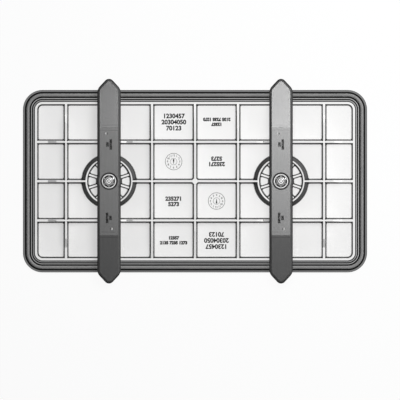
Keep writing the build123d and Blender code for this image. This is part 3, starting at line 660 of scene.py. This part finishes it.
def small_plastic(name, dark, light, roughness, clouds, gloss=0.5):
    tree = new_finish(name)
    grain = place_group(tree, grain_group, Grain_Scale=2400.0, Cloud_Scale=clouds)
    shader = plain_values(tree, Roughness=roughness, Specular_IOR_Level=gloss)
    # Painted shade in the corners and folds.
    fold_shade = corner_mask(tree, *SMALL_FOLD_SHADE)
    tone = blend_colours(tree, grain["Cloud"], dark, light)
    join(tree, blend_colours(tree, fold_shade, tone, FOLD_SHADE_GREY), shader["Base Color"])
    raised_detail(tree, grain["Height"], SMALL_GRAIN_DEPTH)


small_plastic("white_cap_plastic", CAP_DARK, CAP_LIGHT, roughness=0.30, clouds=60.0)
small_plastic("natural_bearing_plastic", CREAM_DARK, CREAM_LIGHT, roughness=0.38, clouds=90.0)
small_plastic("dark_nylon", NYLON_DARK, NYLON_LIGHT, roughness=0.60, clouds=120.0, gloss=0.2)
small_plastic("black_seal_rubber", RUBBER_DARK, RUBBER_LIGHT, roughness=0.45, clouds=90.0)
small_plastic("mark_ink", INK_DARK, INK_LIGHT, roughness=0.80, clouds=200.0, gloss=0.1)
print("five small finishes made")

# %% [markdown]
# ## Turned steel and brass
# Washers, nuts and studs are turned, so their polish has rings round the hub's axis. The rings
# make both the colour and the roughness uneven, and a very small bump catches the light. Some
# of them also have dark rings of painted shade on the faces that look up, where one turned step
# meets the next, and all of them get painted shade in corners and where they meet other parts.

# %% The metals' finishes
# Painted shade: dark rings where turned steps meet, and shade in corners.
STEP_SHADE_GREY = grey(0.01)
METAL_FOLD_SHADE = (0.004, 0.62, 0.86)
METAL_FOLD_SHADE_GREY = grey(0.015)
RING_DEPTH = 0.00002
FLAT_FROM = 0.90
FLAT_AT = 0.97


def turned_metal(name, dark, light, smooth, rough, shade_rings=()):
    tree = new_finish(name)
    rings = place_group(tree, ring_group, Rings_per_Metre=2600.0)
    shader = plain_values(tree, Metallic=1.0)
    tone = blend_colours(tree, rings["Tone"], dark, light)
    upward = fade(tree, facing_up(tree), FLAT_FROM, FLAT_AT)
    # Painted shade: dark rings on up-facing faces where turned steps meet.
    for start, end in shade_rings:
        ring = both(tree, stripe(tree, rings["Radius"], start, end), upward)
        tone = blend_colours(tree, ring, tone, STEP_SHADE_GREY)
    # Painted shade in corners and where other parts come close.
    fold_shade = corner_mask(tree, *METAL_FOLD_SHADE, own_shape=False)
    join(tree, blend_colours(tree, fold_shade, tone, METAL_FOLD_SHADE_GREY), shader["Base Color"])
    spread = calculate(tree, "MULTIPLY_ADD", rings["Tone"], rough - smooth, smooth)
    join(tree, spread, shader["Roughness"])
    raised_detail(tree, rings["Height"], RING_DEPTH)


STEEL_SHINE = {"smooth": 0.36, "rough": 0.50}
WASHER_SHINE = {"smooth": 0.40, "rough": 0.54}
BRASS_SHINE = {"smooth": 0.24, "rough": 0.38}
STEEL = (grey(0.42), grey(0.56))
WASHER_STEEL = (grey(0.44), grey(0.60))
NUT_STEEL = (grey(0.56), grey(0.72))
STUD_STEEL = (grey(0.52), grey(0.68))
BRASS = ((0.62, 0.44, 0.17, 1.0), (0.78, 0.60, 0.28, 1.0))
WASHER_SHADE_RINGS = ((0.0, 0.0106), (0.0124, 0.0140))
NUT_SHADE_RINGS = ((0.0078, 0.0100),)
STUD_SHADE_RINGS = ((-0.001, 0.0008), (0.0020, 0.0032), (0.0045, 0.0060))

turned_metal("turned_stainless", *STEEL, **STEEL_SHINE)
turned_metal("turned_washer", *WASHER_STEEL, **WASHER_SHINE, shade_rings=WASHER_SHADE_RINGS)
turned_metal("turned_nut", *NUT_STEEL, **STEEL_SHINE, shade_rings=NUT_SHADE_RINGS)
turned_metal("turned_stud", *STUD_STEEL, **STEEL_SHINE, shade_rings=STUD_SHADE_RINGS)
turned_metal("turned_brass", *BRASS, **BRASS_SHINE)
print("five metals made")

# %% [markdown]
# ## Dress the CAD parts
# A CAD part keeps its shape and gets its finish through its material slots. The names tell
# which finish: the same piece on the left and on the right is made of the same stuff.

# %% Give each CAD part its finish
FINISHES = {
    "lid": "white_lid_plastic",
    "gasket": "grey_seal_rubber",
    "clamp_bar": "grey_bar_plastic",
    "bar_bush": "natural_bearing_plastic",
    "flat_washer": "turned_washer",
    "lock_nut": "turned_nut",
    "lock_nut_insert": "dark_nylon",
    "stud": "turned_stud",
    "finger_knob": "grey_knob_plastic",
    "knob_cap": "white_cap_plastic",
    "knob_insert": "turned_brass",
    "knob_washer": "natural_bearing_plastic",
    "knob_clip": "turned_stainless",
    "hub_bush": "natural_bearing_plastic",
    "hub_seal": "black_seal_rubber",
    "guide_plate": "turned_stainless",
    "guide_screws": "turned_stainless",
}

for name, part in parts.items():
    kind = name.removeprefix("left_").removeprefix("right_")
    part.data.materials.clear()
    part.data.materials.append(bpy.data.materials[FINISHES[kind]])
print("finishes given to", len(parts), "parts")

# %% [markdown]
# ## Small steps on meshes
# Blender's operators work on what is selected, so a few steps come back for every piece that we
# add: select some pieces and make them one, open a mesh with all of it selected, thicken a flat
# shape, and close the mesh with its faces turned outward.

# %% Helpers that select, open and close
def gather(pieces):
    bpy.ops.object.select_all(action="DESELECT")
    for piece in pieces:
        piece.select_set(True)
    bpy.context.view_layer.objects.active = pieces[0]
    if len(pieces) > 1:
        bpy.ops.object.join()
    return bpy.context.object


def open_mesh():
    bpy.ops.object.mode_set(mode="EDIT")
    bpy.ops.mesh.select_all(action="SELECT")


def thicken(depth):
    bpy.ops.mesh.select_all(action="SELECT")
    bpy.ops.mesh.extrude_region_move(TRANSFORM_OT_translate={"value": (0, 0, depth)})


def close_mesh():
    bpy.ops.mesh.select_all(action="SELECT")
    bpy.ops.mesh.normals_make_consistent(inside=False)
    bpy.ops.object.mode_set(mode="OBJECT")


print("mesh helpers ready")

# %% [markdown]
# ## Numbers in place of words
# The real lid and its bars carry a few lines of dark print. This part carries no words, only
# plain numbers, in the same places and at the same size: blocks of figures to count or date a
# lid by, and a round month dial like the ones that moulders press into their work. A text object
# is typed, given a hair of thickness, turned into a mesh and laid on its surface. The lines that
# belong together become one piece, which rides on a body and takes one of the CAD's slots.

# %% A line of figures becomes a thin mesh
INK_DEPTH = 0.00004
SKIN_TOP = 0.0040
FIGURE_SHARE = 0.69


def figures(text, x, y, z, height, turn, boldness):
    bpy.ops.object.select_all(action="DESELECT")
    bpy.ops.object.text_add(location=(0, 0, 0))
    line = bpy.context.object
    line.data.body = text
    line.data.size = height / FIGURE_SHARE
    line.data.align_x = "CENTER"
    line.data.align_y = "CENTER"
    line.data.extrude = INK_DEPTH
    line.data.offset = boldness * height
    bpy.ops.object.convert(target="MESH")
    line = bpy.context.object
    line.rotation_euler = (0, 0, radians(turn))
    line.location = (x, y, z)
    bpy.ops.object.transform_apply(location=True, rotation=True, scale=True)
    return line


def unite(pieces, name, body, finish):
    made = gather(pieces)
    made.name = name
    made.data.name = name
    bpy.ops.object.transform_apply(location=True, rotation=True, scale=True)
    made.data.materials.clear()
    made.data.materials.append(bpy.data.materials[finish])
    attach(made, body)
    print(name, "has", len(made.data.polygons), "faces")
    return made


# %% [markdown]
# Each block of figures is written once and laid in two cells, one the right way up and one
# turned half round, as on the real lid.

# %% Blocks of figures on the lid
LID_BLOCKS = (
    {
        "rows": ("1230457", "20304050", "70123"),
        "height": 0.0074,
        "pitch": 0.0106,
        "boldness": 0.060,
        "places": ((-0.0370, 0.1027, 0), (0.0374, -0.1030, 180)),
    },
    {
        "rows": ("12357", "2135 7235 1273"),
        "height": 0.0050,
        "pitch": 0.0085,
        "boldness": 0.110,
        "places": ((0.0379, 0.1037, 180), (-0.0373, -0.1034, 0)),
    },
    {
        "rows": ("235271", "5273"),
        "height": 0.0066,
        "pitch": 0.0095,
        "boldness": 0.080,
        "places": ((0.0376, 0.0349, 180), (-0.0373, -0.0356, 0)),
    },
)

lid_marks = []
for block in LID_BLOCKS:
    middle = (len(block["rows"]) - 1) / 2
    for x, y, turn in block["places"]:
        for index, row in enumerate(block["rows"]):
            drop = (middle - index) * block["pitch"]
            row_x = x - drop * sin(radians(turn))
            row_y = y + drop * cos(radians(turn))
            lid_marks.append(
                figures(row, row_x, row_y, SKIN_TOP, block["height"], turn, block["boldness"])
            )
print("lines of figures on the lid:", len(lid_marks))

# %% [markdown]
# ## The month dials
# A month dial is a thin ring with the numbers 1 to 12 inside it and an arrow that points at one
# of them. The ring is a flat band: a circle of edges, extruded inward a little and given
# thickness. The arrow is a plane whose tip is pulled together.

# %% Two month dials
DIAL_PLACES = ((-0.0373, 0.0342, 0), (0.0376, -0.0346, 180))
DIAL_CORNERS = 96
DIAL_RADIUS = 0.0148
DIAL_LINE = 0.0007
INNER_RADIUS = 0.0060
INNER_LINE = 0.0005
NUMERAL_CIRCLE = 0.0106
NUMERAL_HEIGHT = 0.0033
NUMERAL_BOLDNESS = 0.020
ARROW_LENGTH = 0.0085
ARROW_WIDTH = 0.0028
ARROW_TIP = 0.12
MONTHS = 12
MONTH_SHOWN = 6
TOP_OF_DIAL = 90


def flat_ring(x, y, z, radius, width):
    bottom = (x, y, z - INK_DEPTH)
    bpy.ops.object.select_all(action="DESELECT")
    bpy.ops.mesh.primitive_circle_add(vertices=DIAL_CORNERS, radius=radius, location=bottom)
    ring = bpy.context.object
    open_mesh()
    bpy.ops.mesh.extrude_edges_move()
    share = (radius - width) / radius
    bpy.ops.transform.resize(value=(share, share, 1), center_override=(x, y, z))
    thicken(2 * INK_DEPTH)
    close_mesh()
    return ring


def arrow(x, y, z, turn):
    bpy.ops.object.select_all(action="DESELECT")
    bpy.ops.mesh.primitive_plane_add(size=1, location=(0, 0, 0))
    pointer = bpy.context.object
    open_mesh()
    bpy.ops.transform.resize(value=(ARROW_WIDTH, ARROW_LENGTH, 1))
    thicken(2 * INK_DEPTH)
    close_mesh()
    for vertex in pointer.data.vertices:
        if vertex.co.y > 0:
            vertex.co.x *= ARROW_TIP
    pointer.rotation_euler = (0, 0, radians(turn))
    pointer.location = (x, y, z - INK_DEPTH)
    bpy.ops.object.transform_apply(location=True, rotation=True, scale=True)
    return pointer


def month_dial(x, y, turn):
    made = [
        flat_ring(x, y, SKIN_TOP, DIAL_RADIUS, DIAL_LINE),
        flat_ring(x, y, SKIN_TOP, INNER_RADIUS, INNER_LINE),
    ]
    step = 360 / MONTHS
    for number in range(1, MONTHS + 1):
        angle = radians(TOP_OF_DIAL - step * number + turn)
        spot_x = x + NUMERAL_CIRCLE * cos(angle)
        spot_y = y + NUMERAL_CIRCLE * sin(angle)
        made.append(
            figures(str(number), spot_x, spot_y, SKIN_TOP, NUMERAL_HEIGHT, turn, NUMERAL_BOLDNESS)
        )
    made.append(arrow(x, y, SKIN_TOP, turn - step * MONTH_SHOWN))
    return made


for x, y, turn in DIAL_PLACES:
    lid_marks += month_dial(x, y, turn)
unite(lid_marks, "lid_figures", "lid_body", "mark_ink")

# %% [markdown]
# ## Figures on the bars
# Each bar has two small marks of two lines, which read along the bar, one in each half.

# %% Two marks on each bar
BAR_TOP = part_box("left_clamp_bar")[1].z
BAR_FIGURE_HEIGHT = 0.0036
BAR_BOLDNESS = 0.115
BAR_TURN = 90
BAR_LINES = (
    ("235", -0.0025, 0.064),
    ("2357235", 0.0033, 0.064),
    ("2357235", -0.0031, -0.064),
    ("235", 0.0028, -0.064),
)

for side, hub in (("left", -HUB_X), ("right", HUB_X)):
    lines = [
        figures(text, hub + across, up, BAR_TOP, BAR_FIGURE_HEIGHT, BAR_TURN, BAR_BOLDNESS)
        for text, across, up in BAR_LINES
    ]
    unite(lines, side + "_bar_figures", side + "_bar_body", "mark_ink")

# %% [markdown]
# ## Real threads on the studs
# The CAD studs are smooth rods. A real one has an M10 thread, which shows beyond the lock nut
# and wherever the stud is bare. A Screw modifier makes a thread from one tooth: it turns the
# tooth's line round the axis and lifts it by one pitch per turn. The ends are cut flat with
# bisect, which also closes them, and two flats are cut along the lower part, where the guide
# plate's slot stops the stud from turning. Bisect is told to cut within a thousandth of a
# millimetre: by default it leaves points within a tenth where they are, and the ends come out
# ragged. A plain collar joins the two lengths of thread.

# %% One threaded stud, copied to the other hub
STUD_LOW, STUD_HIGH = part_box("left_stud")
THREAD_PITCH = 0.0015
THREAD_OUTER = 0.00497
THREAD_INNER = 0.00413
TOOTH = (
    (THREAD_INNER, 0.00015),
    (THREAD_OUTER, 0.00060),
    (THREAD_OUTER, 0.00080),
    (THREAD_INNER, 0.00125),
    (THREAD_INNER, 0.00165),
)
THREAD_STEPS = 36
TURNS_BELOW = 2
SPARE_TURNS = 4
WELD_WITHIN = 0.000005
CUT_WITHIN = 0.000001
COLLAR_CORNERS = 72
COLLAR_RADIUS = 0.0080
COLLAR_BOTTOM = 0.0270
COLLAR_TOP = 0.0295
COLLAR_BEVEL = 0.0003
INTO_COLLAR = 0.0005
FLAT_FROM_AXIS = 0.0040
SMOOTH_BELOW = 28


def tooth_line():
    bpy.ops.object.select_all(action="DESELECT")
    bpy.ops.mesh.primitive_plane_add(size=1, location=(0, 0, 0))
    open_mesh()
    bpy.ops.mesh.merge(type="CENTER")
    bpy.ops.mesh.select_all(action="SELECT")
    bpy.ops.transform.translate(value=(TOOTH[0][0], 0, TOOTH[0][1]))
    for (across, up), (next_across, next_up) in zip(TOOTH, TOOTH[1:]):
        step = (next_across - across, 0, next_up - up)
        bpy.ops.mesh.extrude_vertices_move(TRANSFORM_OT_translate={"value": step})
    bpy.ops.object.mode_set(mode="OBJECT")
    return bpy.context.object


def apply_modifiers(piece):
    gather([piece])
    for modifier in list(piece.modifiers):
        bpy.ops.object.modifier_apply(modifier=modifier.name)
    bpy.ops.object.transform_apply(location=True, rotation=True, scale=True)


def cut_off(place, facing):
    bpy.ops.mesh.select_all(action="SELECT")
    bpy.ops.mesh.bisect(
        plane_co=place, plane_no=facing, use_fill=True, clear_outer=True, threshold=CUT_WITHIN
    )


def threaded_rod(bottom, top, flats):
    rod = tooth_line()
    screw = rod.modifiers.new("thread", "SCREW")
    screw.axis = "Z"
    screw.angle = 2 * pi
    screw.screw_offset = THREAD_PITCH
    screw.iterations = int((top - bottom) / THREAD_PITCH) + SPARE_TURNS
    screw.steps = THREAD_STEPS
    screw.render_steps = THREAD_STEPS
    screw.use_merge_vertices = False
    rod.location = (0, 0, bottom - TURNS_BELOW * THREAD_PITCH)
    apply_modifiers(rod)
    open_mesh()
    bpy.ops.mesh.remove_doubles(threshold=WELD_WITHIN)
    cut_off((0, 0, bottom), (0, 0, -1))
    cut_off((0, 0, top), (0, 0, 1))
    if flats:
        cut_off((FLAT_FROM_AXIS, 0, 0), (1, 0, 0))
        cut_off((-FLAT_FROM_AXIS, 0, 0), (-1, 0, 0))
    close_mesh()
    return rod


def collar():
    bpy.ops.object.select_all(action="DESELECT")
    bpy.ops.mesh.primitive_cylinder_add(
        vertices=COLLAR_CORNERS,
        radius=COLLAR_RADIUS,
        depth=COLLAR_TOP - COLLAR_BOTTOM,
        location=(0, 0, (COLLAR_TOP + COLLAR_BOTTOM) / 2),
    )
    made = bpy.context.object
    bevel = made.modifiers.new("edge", "BEVEL")
    bevel.width = COLLAR_BEVEL
    bevel.segments = 2
    apply_modifiers(made)
    return made


lower_rod = threaded_rod(STUD_LOW.z, COLLAR_BOTTOM + INTO_COLLAR, flats=True)
upper_rod = threaded_rod(COLLAR_TOP - INTO_COLLAR, STUD_HIGH.z, flats=False)
stud = gather([lower_rod, upper_rod, collar()])
bpy.ops.object.shade_smooth_by_angle(angle=radians(SMOOTH_BELOW))
twin = stud.copy()
twin.data = stud.data.copy()
bpy.context.collection.objects.link(twin)
for piece, side, hub in ((stud, "left", -HUB_X), (twin, "right", HUB_X)):
    piece.location = (hub, 0, 0)
    made = unite([piece], side + "_threaded_stud", side + "_stud_body", "turned_stud")
    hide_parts(side + "_stud")
